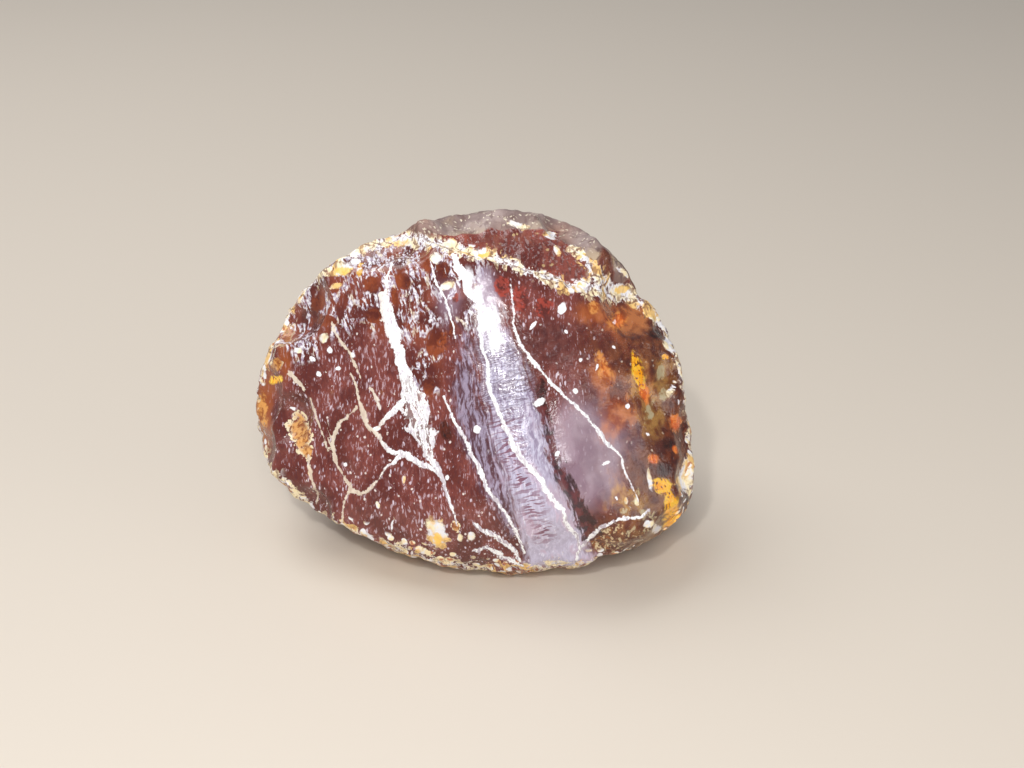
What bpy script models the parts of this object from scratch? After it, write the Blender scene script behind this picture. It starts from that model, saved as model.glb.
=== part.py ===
"""A lump of raw amber, built as one closed stone, for Blender 4.5.

Run it with: blender --background --python part.py

The lump stands on a small flat spot at z = 0, with its broken, glossy face towards -Y.
Every point of its skin lies on one ray from the middle of the lump. How far out the
skin is on that ray is worked out from the faces, hollows and chips that bound the stone.
Lengths are in millimetres until the mesh is written, in metres.
"""

import math

import bmesh
import bpy
import numpy as np

MM = 0.001

# The middle of the lump, from which the rays start, above the middle of its base
MIDDLE = np.array([0.0, 1.0, 15.8])

# How far the broken face leans back from upright
LEAN = math.radians(27)

# Directions square to the broken face, as rows: across it, up along it, and out of it
FACE_AXES = np.array([
    [1.0, 0.0, 0.0],
    [0.0, math.sin(LEAN), math.cos(LEAN)],
    [0.0, -math.cos(LEAN), math.sin(LEAN)],
])

# The outline seen square to the broken face, (across, up) from the middle, clockwise from the left
OUTLINE = [
    (-20.8, -6.9), (-22.1, -1.5), (-20.9, 2.6), (-18.1, 8.2), (-15.4, 11.7), (-11.0, 14.1),
    (-7.5, 15.3), (-2.7, 17.0), (2.5, 18.2), (7.6, 17.4), (11.2, 15.0), (13.9, 12.9),
    (16.3, 8.9), (20.4, 6.4), (20.6, 0.0), (21.5, -6.6), (21.3, -11.8), (19.5, -15.8),
    (13.1, -16.8), (7.1, -17.2), (0.5, -17.8), (-6.2, -16.4), (-10.8, -14.3), (-16.1, -12.1),
]

# Bulging faces that bound the stone: direction (across, up, out), reach from the middle,
# radius of the ball that the face is a piece of, and how far its edges are rounded
FACES = {
    "left_dome": ((-0.33, 0.00, 0.94), 9.3, 90.0, 1.0),
    "right_flank": ((0.48, 0.22, 0.84), 12.2, 120.0, 4.0),
    "brow": ((-0.10, 0.55, 0.84), 14.6, 60.0, 1.5),
    "chin": ((-0.12, -0.62, 0.78), 14.9, 60.0, 2.0),
    "plateau": ((0.12, 0.95, 0.30), 17.6, 50.0, 1.0),
    "right_bevel": ((0.50, -0.70, 0.52), 21.0, 70.0, 1.0),
    "back": ((0.05, 0.35, -0.94), 14.0, 40.0, 1.5),
    "back_left": ((-0.62, 0.10, -0.78), 19.5, 60.0, 1.5),
    "back_right": ((0.72, 0.22, -0.65), 17.4, 70.0, 1.5),
    "back_foot": ((0.10, -0.62, -0.78), 17.0, 45.0, 1.5),
    "left_underside": ((-0.45, -0.80, -0.35), 18.6, 60.0, 1.5),
}

# The step behind the rim of the broken face: a shelf, and a riser up to the plateau.
# Each is a flat plane: direction (across, up, out) and distance from the middle.
SHELF = ((0.33, 1.00, 0.10), 12.9)
RISER = ((0.12, 0.50, 0.86), 10.6)

# The groove beside the ridge of the broken face: its path (across, up), depth and half width
GROOVE_PATH = [(6.6, 1.0), (7.2, -3.5), (8.2, -7.5), (10.2, -11.0), (12.2, -15.5)]
GROOVE_DEPTH = 0.8
GROOVE_WIDTH = 1.3
GROOVE_FADE = (3.0, -6.0)   # how far up it starts, and where it is at its full depth

# Shell-shaped scars: bearing round the outline (0 is right, 90 is up) and tilt out of it
# (90 is straight out of the broken face), in degrees; ball radius and depth
SCARS = {
    "right_notch": (-21, 8, 3.0, 0.9),
    "right_edge_flake": (4, -10, 12.0, 0.3),
    "lower_right_chip": (-36, 12, 7.0, 0.5),
    "upper_right_chip": (30, 16, 7.0, 0.4),
    "red_window": (66, 43, 5.0, 0.4),
    "top_left_chip": (118, 26, 9.0, 0.3),
    "plateau_dish": (66, -12, 22.0, 0.6),
    "back_shell": (150, -52, 18.0, 1.4),
    "back_shell_low": (40, -58, 14.0, 1.2),
    "back_shell_high": (96, -48, 13.0, 1.1),
    "back_fan": (300, -42, 13.0, 1.1),
    "back_left_shell": (205, -35, 15.0, 1.2),
    "right_side_flake": (-8, -34, 10.0, 0.9),
}

# Small chips along the rim of the broken face, nibbled all the way round
RIM_CHIPS = 46
RIM_CHIP_BALL = (2.6, 7.0)
RIM_CHIP_DEPTH = (0.00, 0.16)
RIM_TILT = (-6, 12)

# How far the edges of the scars wander
WANDER = 0.07

# Lumps of the rough skin: size across and height. The broken face keeps only a share of them.
LUMPS = [(7.0, 0.50), (3.4, 0.30), (1.9, 0.16)]
GLOSSY_SHARE = 0.3

# The share of the fine triangles that is kept, and how near the table counts as the flat foot
SHARE_KEPT = 0.105
FOOT_BAND = 0.03

AMBER_COLOUR = (0.18, 0.055, 0.03, 1.0)

FAR = 200.0


def unit(vector):
    return np.array(vector) / np.linalg.norm(vector)


def along_face(vector):
    """A vector given as (across, up, out) of the broken face, in x, y and z."""
    return np.array(vector) @ FACE_AXES


def outline_reach(rays):
    """How far each ray goes inside a straight tube of the outline, seen square to the broken face."""
    across, up, _ = (rays @ FACE_AXES.T).T
    points = np.array(OUTLINE)
    turns = np.arctan2(points[:, 1], points[:, 0])
    order = np.argsort(turns)
    reach = np.hypot(points[:, 0], points[:, 1])[order]
    around = np.interp(np.arctan2(up, across), turns[order], reach, period=2 * math.pi)
    return np.minimum(around / np.maximum(np.hypot(across, up), 1e-6), FAR)


def bulge_reach(rays, facing, reach, ball):
    """How far each ray goes to the inside of a large ball, which makes one gently bulging face."""
    centre = along_face(unit(facing)) * (reach - ball)
    along = rays @ centre
    return along + np.sqrt(along**2 - centre @ centre + ball**2)


def scar_reach(rays, towards, deepest, ball):
    """How far each ray goes to a ball scooped out of the stone, deepest on the ray called towards."""
    centre = towards * (deepest + ball)
    along = rays @ centre
    inside = along**2 - centre @ centre + ball**2
    hit = (inside > 0) & (along > 0)
    return np.where(hit, along - np.sqrt(np.maximum(inside, 0)), FAR)


def plane_reach(rays, facing, distance):
    """How far each ray goes to a flat plane."""
    towards = rays @ along_face(unit(facing))
    return np.where(towards > distance / FAR, distance / np.maximum(towards, 1e-6), FAR)


def soft_min(a, b, width):
    """The smaller of two lengths, rounded off where they are within width of each other."""
    share = np.clip(0.5 + 0.5 * (b - a) / width, 0, 1)
    return b * (1 - share) + a * share - width * share * (1 - share)


def lattice_noise(points, cell, seed):
    """Smooth noise from -1 to 1: random numbers on a lattice, blended smoothly between its points."""
    side = 16
    table = np.random.default_rng(seed).uniform(-1, 1, (side, side, side))
    base = np.floor(points / cell).astype(int)
    part = points / cell - base
    part = part * part * (3 - 2 * part)
    total = np.zeros(len(points))
    for corner in np.ndindex(2, 2, 2):
        weight = np.prod(np.where(corner, part, 1 - part), axis=1)
        i, j, k = ((base + corner) % side).T
        total += weight * table[i, j, k]
    return total


def path_distance(across, up, path):
    """How far points of the broken face are from a path of straight pieces."""
    nearest = np.full(len(across), FAR)
    for (x0, y0), (x1, y1) in zip(path, path[1:]):
        dx, dy = x1 - x0, y1 - y0
        share = np.clip(((across - x0) * dx + (up - y0) * dy) / (dx * dx + dy * dy), 0, 1)
        nearest = np.minimum(nearest, np.hypot(across - x0 - share * dx, up - y0 - share * dy))
    return nearest


def faces_reach(rays):
    """How far the stone's main faces are from the middle, with the step behind the rim."""
    reach = np.full(len(rays), FAR)
    for facing, distance, ball, edge in FACES.values():
        reach = soft_min(reach, bulge_reach(rays, facing, distance, ball), edge)
    reach = soft_min(reach, outline_reach(rays), 1.2)
    step = np.maximum(plane_reach(rays, *SHELF), plane_reach(rays, *RISER))
    return soft_min(reach, step, 0.5)


def scar_list():
    """The named scars, then the small chips round the rim: (bearing, tilt, ball, depth)."""
    draw = np.random.default_rng(11)
    chips = [
        (
            (number + draw.uniform(-0.4, 0.4)) * 360 / RIM_CHIPS,
            draw.uniform(*RIM_TILT),
            draw.uniform(*RIM_CHIP_BALL),
            draw.uniform(*RIM_CHIP_DEPTH),
        )
        for number in range(RIM_CHIPS)
    ]
    return list(SCARS.values()) + chips


def skin_reach(rays):
    """How far the skin is from the middle along each ray, with its scars, groove, lumps and foot."""
    reach = faces_reach(rays)
    turned = rays + WANDER * np.stack([lattice_noise(rays, 0.22, seed) for seed in (5, 6, 7)], axis=1)
    turned /= np.linalg.norm(turned, axis=1)[:, None]
    for bearing, tilt, ball, depth in scar_list():
        turn, rise = math.radians(bearing), math.radians(tilt)
        towards = along_face(
            (math.cos(turn) * math.cos(rise), math.sin(turn) * math.cos(rise), math.sin(rise))
        )
        deepest = faces_reach(towards[None, :])[0] - depth
        reach = soft_min(reach, scar_reach(turned, towards, deepest, ball), 0.45)
    across, up, out = (rays * reach[:, None] @ FACE_AXES.T).T
    groove = np.exp(-(path_distance(across, up, GROOVE_PATH) / GROOVE_WIDTH) ** 2)
    groove *= np.clip((up - GROOVE_FADE[0]) / (GROOVE_FADE[1] - GROOVE_FADE[0]), 0, 1)
    reach = reach - GROOVE_DEPTH * groove * (out > 0)
    glossy = np.clip((rays @ FACE_AXES[2] - 0.30) / 0.25, 0, 1)
    rough = 1 - (1 - GLOSSY_SHARE) * glossy
    places = rays * reach[:, None]
    for seed, (size, height) in enumerate(LUMPS):
        reach = reach + rough * height * lattice_noise(places, size, seed)
    foot = np.where(rays[:, 2] < -0.1, MIDDLE[2] / np.maximum(-rays[:, 2], 0.1), FAR)
    return np.minimum(reach, foot)


def make_skin():
    """The stone at full detail: a ball whose points are all moved out to the skin, in metres."""
    shape = bmesh.new()
    bmesh.ops.create_icosphere(shape, subdivisions=7, radius=1)
    rays = np.array([vertex.co for vertex in shape.verts])
    rays /= np.linalg.norm(rays, axis=1)[:, None]
    places = (MIDDLE + rays * skin_reach(rays)[:, None]) * MM
    for vertex, place in zip(shape.verts, places):
        vertex.co = place
    skin = bpy.data.meshes.new("skin")
    shape.to_mesh(skin)
    shape.free()
    return skin


def make_lump(collection):
    """The stone as one part: the skin thinned to fewer, larger triangles, with its foot quite flat."""
    lump = bpy.data.objects.new("amber_lump", make_skin())
    collection.objects.link(lump)
    lump.modifiers.new("thin", "DECIMATE").ratio = SHARE_KEPT
    bpy.context.view_layer.update()
    thinned = lump.evaluated_get(bpy.context.evaluated_depsgraph_get())
    mesh = bpy.data.meshes.new_from_object(thinned)
    mesh.name = "amber_lump"
    lump.modifiers.clear()
    lump.data = mesh
    shape = bmesh.new()
    shape.from_mesh(mesh)
    for vertex in shape.verts:
        if vertex.co.z < FOOT_BAND * MM:
            vertex.co.z = 0
    bmesh.ops.remove_doubles(shape, verts=shape.verts, dist=0.02 * MM)
    bmesh.ops.triangulate(shape, faces=shape.faces)
    bmesh.ops.recalc_face_normals(shape, faces=shape.faces)
    shape.to_mesh(mesh)
    shape.free()
    mesh.shade_smooth()
    mesh.materials.append(make_amber())
    return lump


def make_amber():
    """Glossy, dark red-brown resin."""
    material = bpy.data.materials.new("amber")
    material.use_nodes = True
    shader = material.node_tree.nodes["Principled BSDF"]
    shader.inputs["Base Color"].default_value = AMBER_COLOUR
    shader.inputs["Roughness"].default_value = 0.25
    shader.inputs["Metallic"].default_value = 0.0
    shader.inputs["IOR"].default_value = 1.54
    return material


if __name__ == "__main__":
    for found in list(bpy.data.objects):
        bpy.data.objects.remove(found)
    stone = bpy.data.collections.new("raw_amber")
    bpy.context.scene.collection.children.link(stone)
    make_lump(stone)
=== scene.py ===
"""A lump of raw amber: the finished look of one closed stone.

The stone is one surface of two parameters on each of the six sides of a cube. Every grid
point gives a ray from the middle of the stone, and the skin's distance along that ray is
worked out from the faces, step, scars, groove and lumps that bound the stone. Cracks,
stains and zones are stored on the points of the skin, and the material reads them there.
Lengths are in millimetres until the mesh is written, in metres.
"""
import math

import bpy
import numpy as np
from mathutils import Matrix, Vector


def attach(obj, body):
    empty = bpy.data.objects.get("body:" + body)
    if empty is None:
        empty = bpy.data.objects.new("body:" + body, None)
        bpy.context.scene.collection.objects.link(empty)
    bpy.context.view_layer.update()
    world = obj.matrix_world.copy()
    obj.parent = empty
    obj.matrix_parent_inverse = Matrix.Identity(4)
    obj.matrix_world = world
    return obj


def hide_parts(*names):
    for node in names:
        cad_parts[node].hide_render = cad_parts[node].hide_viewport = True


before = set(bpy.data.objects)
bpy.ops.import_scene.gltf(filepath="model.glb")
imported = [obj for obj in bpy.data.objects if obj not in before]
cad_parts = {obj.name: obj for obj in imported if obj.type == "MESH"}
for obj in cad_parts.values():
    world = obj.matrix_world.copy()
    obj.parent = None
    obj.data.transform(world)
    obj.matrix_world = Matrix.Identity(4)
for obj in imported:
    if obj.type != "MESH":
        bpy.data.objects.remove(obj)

MM = 0.001
FAR = 200.0

# The middle of the lump, from which the rays start, above the middle of its base
MIDDLE = np.array([0.0, 1.0, 15.8])

# How far the broken face leans back from upright
LEAN = math.radians(27)

# Directions square to the broken face, as rows: across it, up along it, and out of it
FACE_AXES = np.array([
    [1.0, 0.0, 0.0],
    [0.0, math.sin(LEAN), math.cos(LEAN)],
    [0.0, -math.cos(LEAN), math.sin(LEAN)],
])

# Where the stone is looked at from, across, up and out of the broken face
EYE = (3.68, 0.55, 169.8)

# The outline seen square to the broken face, (across, up) from the middle, clockwise from the left
OUTLINE = [
    (-20.8, -6.9), (-22.1, -1.5), (-20.9, 2.6), (-18.1, 8.2), (-15.4, 11.7), (-11.0, 14.1),
    (-7.5, 15.3), (-2.7, 17.0), (2.5, 18.2), (7.6, 17.4), (11.2, 15.0), (13.9, 12.9),
    (16.3, 8.9), (20.4, 6.4), (20.6, 0.0), (21.5, -6.6), (21.3, -11.8), (19.5, -15.8),
    (13.1, -16.8), (7.1, -17.2), (0.5, -17.8), (-6.2, -16.4), (-10.8, -14.3), (-16.1, -12.1),
]

# Bulging faces that bound the stone: direction (across, up, out), reach from the middle,
# radius of the ball that the face is a piece of, and how far its edges are rounded
FACES = {
    "left_dome": ((-0.33, 0.00, 0.94), 9.3, 90.0, 1.0),
    "right_flank": ((0.48, 0.22, 0.84), 12.2, 120.0, 4.0),
    "brow": ((-0.10, 0.55, 0.84), 14.6, 60.0, 1.5),
    "chin": ((-0.12, -0.62, 0.78), 14.9, 60.0, 2.0),
    "plateau": ((0.12, 0.95, 0.30), 17.6, 50.0, 1.0),
    "right_bevel": ((0.50, -0.70, 0.52), 21.0, 70.0, 1.0),
    "back": ((0.05, 0.35, -0.94), 14.0, 40.0, 1.5),
    "back_left": ((-0.62, 0.10, -0.78), 19.5, 60.0, 1.5),
    "back_right": ((0.72, 0.22, -0.65), 17.4, 70.0, 1.5),
    "back_foot": ((0.10, -0.62, -0.78), 17.0, 45.0, 1.5),
    "left_underside": ((-0.45, -0.80, -0.35), 18.6, 60.0, 1.5),
}

# The step behind the rim of the broken face: a shelf, and a riser up to the plateau.
# Each is a flat plane: direction (across, up, out) and distance from the middle.
SHELF = ((0.33, 1.00, 0.10), 12.9)
RISER = ((0.12, 0.50, 0.86), 10.6)

# The groove beside the ridge of the broken face: its path (across, up), depth and half width
GROOVE_PATH = [(6.6, 1.0), (7.2, -3.5), (8.2, -7.5), (10.2, -11.0), (12.2, -15.5)]
GROOVE_DEPTH = 0.8
GROOVE_WIDTH = 1.3
GROOVE_FADE = (3.0, -6.0)   # how far up it starts, and where it is at its full depth

# Shell-shaped scars: bearing round the outline (0 is right, 90 is up) and tilt out of it
# (90 is straight out of the broken face), in degrees; ball radius and depth
SCARS = {
    "right_notch": (-21, 8, 3.0, 0.9),
    "right_edge_flake": (4, -10, 12.0, 0.3),
    "lower_right_chip": (-36, 12, 7.0, 0.5),
    "upper_right_chip": (30, 16, 7.0, 0.4),
    "red_window": (66, 43, 5.0, 0.4),
    "top_left_chip": (118, 26, 9.0, 0.3),
    "plateau_dish": (66, -12, 22.0, 0.6),
    "back_shell": (150, -52, 18.0, 1.4),
    "back_shell_low": (40, -58, 14.0, 1.2),
    "back_shell_high": (96, -48, 13.0, 1.1),
    "back_fan": (300, -42, 13.0, 1.1),
    "back_left_shell": (205, -35, 15.0, 1.2),
    "right_side_flake": (-8, -34, 10.0, 0.9),
}

# Small chips along the rim of the broken face, nibbled all the way round
RIM_CHIPS = 46
RIM_CHIP_BALL = (2.6, 7.0)
RIM_CHIP_DEPTH = (0.00, 0.16)
RIM_TILT = (-6, 12)

# How far the edges of the scars wander
WANDER = 0.07

# Lumps of the rough skin: size across and height. The broken face keeps only a share of them.
LUMPS = [(7.0, 0.50), (3.4, 0.30), (1.9, 0.16)]
GLOSSY_SHARE = 0.3

# The faces that make up the broken front of the stone
FRONT_FACES = ("left_dome", "right_flank", "brow", "chin", "right_bevel")


def unit(vector):
    return np.array(vector) / np.linalg.norm(vector)


def along_face(vector):
    """A vector given as (across, up, out) of the broken face, in x, y and z."""
    return np.array(vector) @ FACE_AXES


def outline_reach(rays):
    """How far each ray goes inside a straight tube of the outline, seen square to the broken face."""
    across, up, _ = (rays @ FACE_AXES.T).T
    points = np.array(OUTLINE)
    turns = np.arctan2(points[:, 1], points[:, 0])
    order = np.argsort(turns)
    reach = np.hypot(points[:, 0], points[:, 1])[order]
    around = np.interp(np.arctan2(up, across), turns[order], reach, period=2 * math.pi)
    return np.minimum(around / np.maximum(np.hypot(across, up), 1e-6), FAR)


def bulge_reach(rays, facing, reach, ball):
    """How far each ray goes to the inside of a large ball, which makes one gently bulging face."""
    centre = along_face(unit(facing)) * (reach - ball)
    along = rays @ centre
    return along + np.sqrt(along**2 - centre @ centre + ball**2)


def scar_reach(rays, towards, deepest, ball):
    """How far each ray goes to a ball scooped out of the stone, deepest on the ray called towards."""
    centre = towards * (deepest + ball)
    along = rays @ centre
    inside = along**2 - centre @ centre + ball**2
    hit = (inside > 0) & (along > 0)
    return np.where(hit, along - np.sqrt(np.maximum(inside, 0)), FAR)


def plane_reach(rays, facing, distance):
    """How far each ray goes to a flat plane."""
    towards = rays @ along_face(unit(facing))
    return np.where(towards > distance / FAR, distance / np.maximum(towards, 1e-6), FAR)


def soft_min(a, b, width):
    """The smaller of two lengths, rounded off where they are within width of each other."""
    share = np.clip(0.5 + 0.5 * (b - a) / width, 0, 1)
    return b * (1 - share) + a * share - width * share * (1 - share)


def lattice_noise(points, cell, seed):
    """Smooth noise from -1 to 1: random numbers on a lattice, blended smoothly between its points."""
    side = 16
    table = np.random.default_rng(seed).uniform(-1, 1, (side, side, side))
    base = np.floor(points / cell).astype(int)
    part = points / cell - base
    part = part * part * (3 - 2 * part)
    total = np.zeros(len(points))
    for corner in np.ndindex(2, 2, 2):
        weight = np.prod(np.where(corner, part, 1 - part), axis=1)
        i, j, k = ((base + corner) % side).T
        total += weight * table[i, j, k]
    return total


def path_distance(across, up, path):
    """How far points of the broken face are from a path of straight pieces."""
    nearest = np.full(len(across), FAR)
    for (x0, y0), (x1, y1) in zip(path, path[1:]):
        dx, dy = x1 - x0, y1 - y0
        share = np.clip(((across - x0) * dx + (up - y0) * dy) / (dx * dx + dy * dy), 0, 1)
        nearest = np.minimum(nearest, np.hypot(across - x0 - share * dx, up - y0 - share * dy))
    return nearest


def faces_reach(rays):
    """How far the stone's main faces are from the middle, with the step behind the rim."""
    reach = np.full(len(rays), FAR)
    for facing, distance, ball, edge in FACES.values():
        reach = soft_min(reach, bulge_reach(rays, facing, distance, ball), edge)
    reach = soft_min(reach, outline_reach(rays), 1.2)
    step = np.maximum(plane_reach(rays, *SHELF), plane_reach(rays, *RISER))
    return soft_min(reach, step, 0.5)


def scar_list():
    """The named scars, then the small chips round the rim: (bearing, tilt, ball, depth)."""
    draw = np.random.default_rng(11)
    chips = [
        (
            (number + draw.uniform(-0.4, 0.4)) * 360 / RIM_CHIPS,
            draw.uniform(*RIM_TILT),
            draw.uniform(*RIM_CHIP_BALL),
            draw.uniform(*RIM_CHIP_DEPTH),
        )
        for number in range(RIM_CHIPS)
    ]
    return list(SCARS.values()) + chips


def skin_reach(rays):
    """How far the skin is from the middle along each ray, with its scars, groove, lumps and foot."""
    smooth = reach = faces_reach(rays)
    turned = rays + WANDER * np.stack([lattice_noise(rays, 0.22, seed) for seed in (5, 6, 7)], axis=1)
    turned /= np.linalg.norm(turned, axis=1)[:, None]
    for bearing, tilt, ball, depth in scar_list():
        turn, rise = math.radians(bearing), math.radians(tilt)
        towards = along_face(
            (math.cos(turn) * math.cos(rise), math.sin(turn) * math.cos(rise), math.sin(rise))
        )
        deepest = faces_reach(towards[None, :])[0] - depth
        reach = soft_min(reach, scar_reach(turned, towards, deepest, ball), 0.45)
    scarred = smooth - reach
    across, up, out = (rays * reach[:, None] @ FACE_AXES.T).T
    groove = np.exp(-(path_distance(across, up, GROOVE_PATH) / GROOVE_WIDTH) ** 2)
    groove *= np.clip((up - GROOVE_FADE[0]) / (GROOVE_FADE[1] - GROOVE_FADE[0]), 0, 1)
    reach = reach - GROOVE_DEPTH * groove * (out > 0)
    glossy = np.clip((rays @ FACE_AXES[2] - 0.30) / 0.25, 0, 1)
    rough = 1 - (1 - GLOSSY_SHARE) * glossy
    places = rays * reach[:, None]
    for seed, (size, height) in enumerate(LUMPS):
        reach = reach + rough * height * lattice_noise(places, size, seed)
    foot = np.where(rays[:, 2] < -0.1, MIDDLE[2] / np.maximum(-rays[:, 2], 0.1), FAR)
    return np.minimum(reach, foot), scarred


# Cracks on the broken face, healed with pale resin: (across, up, half width) along each.
# The cracks of one family stay clear of each other.
CRACK_FAMILIES = [
    [
        [(-9.5, 9.6, 0.3), (-8.8, 8.1, 0.7), (-8.3, 6.3, 0.7), (-7.9, 4.4, 0.5), (-7.3, 2.4, 0.6),
         (-6.7, 0.7, 0.85), (-6.1, -1.0, 1.15), (-5.5, -3.0, 1.3), (-4.9, -5.0, 0.95), (-4.2, -6.8, 0.4),
         (-3.5, -8.4, 0.24), (-2.8, -10.0, 0.2), (-2.2, -11.5, 0.15), (-1.8, -13.4, 0.08)],
        [(0.4, 9.3, 0.15), (0.3, 6.9, 0.2), (0.5, 5.4, 0.2), (1.0, 3.1, 0.18), (1.4, 0.7, 0.2),
         (2.0, -1.4, 0.22), (2.9, -3.8, 0.28), (4.2, -6.2, 0.32), (6.1, -8.5, 0.27), (7.8, -10.8, 0.36),
         (8.9, -12.8, 0.24), (9.9, -14.6, 0.18), (10.7, -16.0, 0.12)],
        [(-11.7, -1.8, 0.1), (-13.4, -3.2, 0.15), (-14.3, -4.8, 0.2), (-14.1, -6.8, 0.17),
         (-13.2, -8.5, 0.08), (-12.3, -9.9, 0.3), (-11.3, -10.3, 0.15), (-10.3, -10.0, 0.12),
         (-9.6, -8.8, 0.08), (-8.5, -7.5, 0.12), (-7.2, -6.5, 0.3)],
        [(-18.6, 1.9, 0.2), (-17.7, 0.9, 0.24), (-16.8, -0.2, 0.12)],
        [(-16.6, -6.5, 0.12), (-16.3, -8.2, 0.16), (-15.7, -10.4, 0.1), (-15.6, -11.5, 0.06)],
        [(-16.5, -0.8, 0.1), (-15.9, -2.8, 0.08), (-15.1, -4.9, 0.09), (-14.7, -6.4, 0.05)],
        [(-14.4, 6.7, 0.1), (-13.6, 5.3, 0.13), (-12.6, 3.7, 0.12), (-11.3, 1.1, 0.1)],
    ],
    [
        [(3.7, 10.7, 0.06), (3.8, 8.4, 0.07), (3.9, 6.4, 0.12), (4.5, 4.4, 0.17), (6.0, 2.5, 0.2),
         (7.5, 0.7, 0.17), (9.3, -1.0, 0.13), (11.2, -2.6, 0.15), (12.8, -4.6, 0.19), (14.3, -6.7, 0.1),
         (15.3, -9.0, 0.08), (16.1, -11.3, 0.05)],
        [(-3.1, -0.6, 0.12), (-2.7, -1.6, 0.14), (-1.7, -3.4, 0.17), (-0.4, -5.8, 0.2), (0.6, -8.2, 0.24),
         (1.8, -10.4, 0.2), (3.1, -12.5, 0.16), (4.3, -14.6, 0.18), (5.0, -16.2, 0.12)],
        [(-12.4, 1.7, 0.08), (-11.8, 0.0, 0.12), (-11.3, -1.8, 0.2), (-10.6, -3.5, 0.25),
         (-9.4, -4.9, 0.12), (-8.0, -6.2, 0.2), (-6.3, -6.8, 0.34), (-4.5, -7.7, 0.2), (-3.3, -8.8, 0.15)],
        [(9.9, -17.0, 0.12), (10.6, -15.7, 0.16), (11.4, -14.7, 0.18), (12.6, -13.7, 0.2),
         (14.4, -12.9, 0.18), (16.4, -12.6, 0.16), (17.4, -11.7, 0.1)],
        [(-12.4, -9.9, 0.16), (-13.0, -11.3, 0.1), (-13.3, -13.4, 0.07)],
        [(-8.3, 12.7, 0.12), (-8.9, 10.9, 0.18), (-9.1, 9.3, 0.16)],
    ],
    [
        [(-7.0, -1.0, 0.4), (-8.1, -2.1, 0.32), (-9.2, -3.4, 0.22), (-10.0, -4.0, 0.1)],
        [(-10.5, 0.2, 0.14), (-10.0, -0.8, 0.18), (-9.4, -1.9, 0.08)],
        [(-0.1, -13.4, 0.22), (0.9, -14.0, 0.26), (2.2, -14.6, 0.26), (3.3, -15.6, 0.26),
         (4.2, -16.5, 0.2), (4.8, -17.1, 0.12)],
        [(-2.3, 13.7, 0.25), (-1.6, 12.1, 0.45), (-1.0, 10.5, 0.4), (-0.1, 8.9, 0.35), (0.7, 7.7, 0.3)],
        [(-4.4, 12.7, 0.1), (-3.8, 10.9, 0.15), (-3.1, 9.3, 0.13), (-2.3, 7.1, 0.1), (-1.8, 4.9, 0.06)],
    ],
]

# One more crack, along the lower edge, that doesn't stand proud as the others do
LOWER_CRACK = [
    (-0.5, -16.1, 0.16), (1.1, -15.8, 0.22), (2.5, -16.5, 0.24), (3.9, -17.1, 0.2), (4.9, -17.5, 0.12),
]

# The valley beside the ridge, darkened with painted shade: (across, up, half width) along it
VALLEY = [
    (6.6, 1.0, 0.3), (6.5, -0.8, 0.7), (6.8, -2.5, 0.5), (7.2, -4.8, 0.4), (7.7, -6.8, 0.6),
    (8.4, -8.4, 0.75), (9.4, -10.0, 0.7), (10.3, -11.6, 0.7), (11.1, -13.2, 1.0), (11.5, -14.9, 0.8),
]

# Strips with broken edges: the pale band of painted sheen on the ridge, the strip of painted shade
# and sheen to its left, and a second strip of crust on the slope behind the rim
STRIPS = {
    "band": [
        (0.4, 12.0, 0.9), (1.1, 8.3, 1.2), (1.5, 5.9, 1.6), (2.4, 2.9, 2.2), (3.4, -0.5, 2.7),
        (4.4, -4.0, 3.0), (5.7, -8.0, 3.2), (7.0, -12.0, 3.3), (8.2, -16.0, 3.5), (8.7, -18.2, 3.5),
    ],
    # Painted shade and sheen on the band's left shoulder
    "dusk": [
        (-0.6, 6.5, 0.3), (-0.9, 3.0, 0.9), (-0.9, -0.5, 1.5), (-0.1, -3.5, 1.8), (1.3, -7.5, 1.6),
        (2.9, -11.5, 1.1), (4.2, -15.0, 0.4),
    ],
    "slope_crust": [
        (9.6, 14.3, 0.45), (10.8, 12.9, 0.7), (11.9, 11.7, 0.85), (13.0, 10.6, 0.85), (14.2, 9.8, 0.7),
    ],
}

# The rim of the broken face, clockwise from the left: (across, up, half width of its crust)
RIM = [
    (-20.9, -7.0, 0.3), (-22.1, -1.5, 0.2), (-21.0, 2.6, 0.7), (-18.2, 8.3, 0.5), (-15.5, 11.8, 0.8),
    (-11.2, 14.2, 1.0), (-8.3, 15.0, 0.9), (-7.0, 15.0, 1.0), (-3.5, 14.5, 0.9), (0.3, 13.5, 0.9),
    (2.9, 12.7, 0.8), (5.1, 11.8, 0.7), (7.2, 11.3, 0.6), (8.7, 10.2, 0.8), (10.2, 10.3, 0.9),
    (13.2, 9.5, 1.1), (15.1, 9.5, 1.1), (16.9, 8.2, 0.9), (18.6, 6.8, 0.9), (19.8, 4.9, 0.8),
    (20.8, 0.0, 0.35), (21.8, -6.8, 0.4), (21.4, -11.8, 0.3), (19.3, -15.5, 0.45), (13.1, -16.8, 0.4),
    (7.3, -17.5, 0.3), (0.5, -18.0, 0.35), (-6.2, -16.4, 0.35), (-11.0, -14.5, 0.25), (-16.2, -12.2, 0.3),
]

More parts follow.
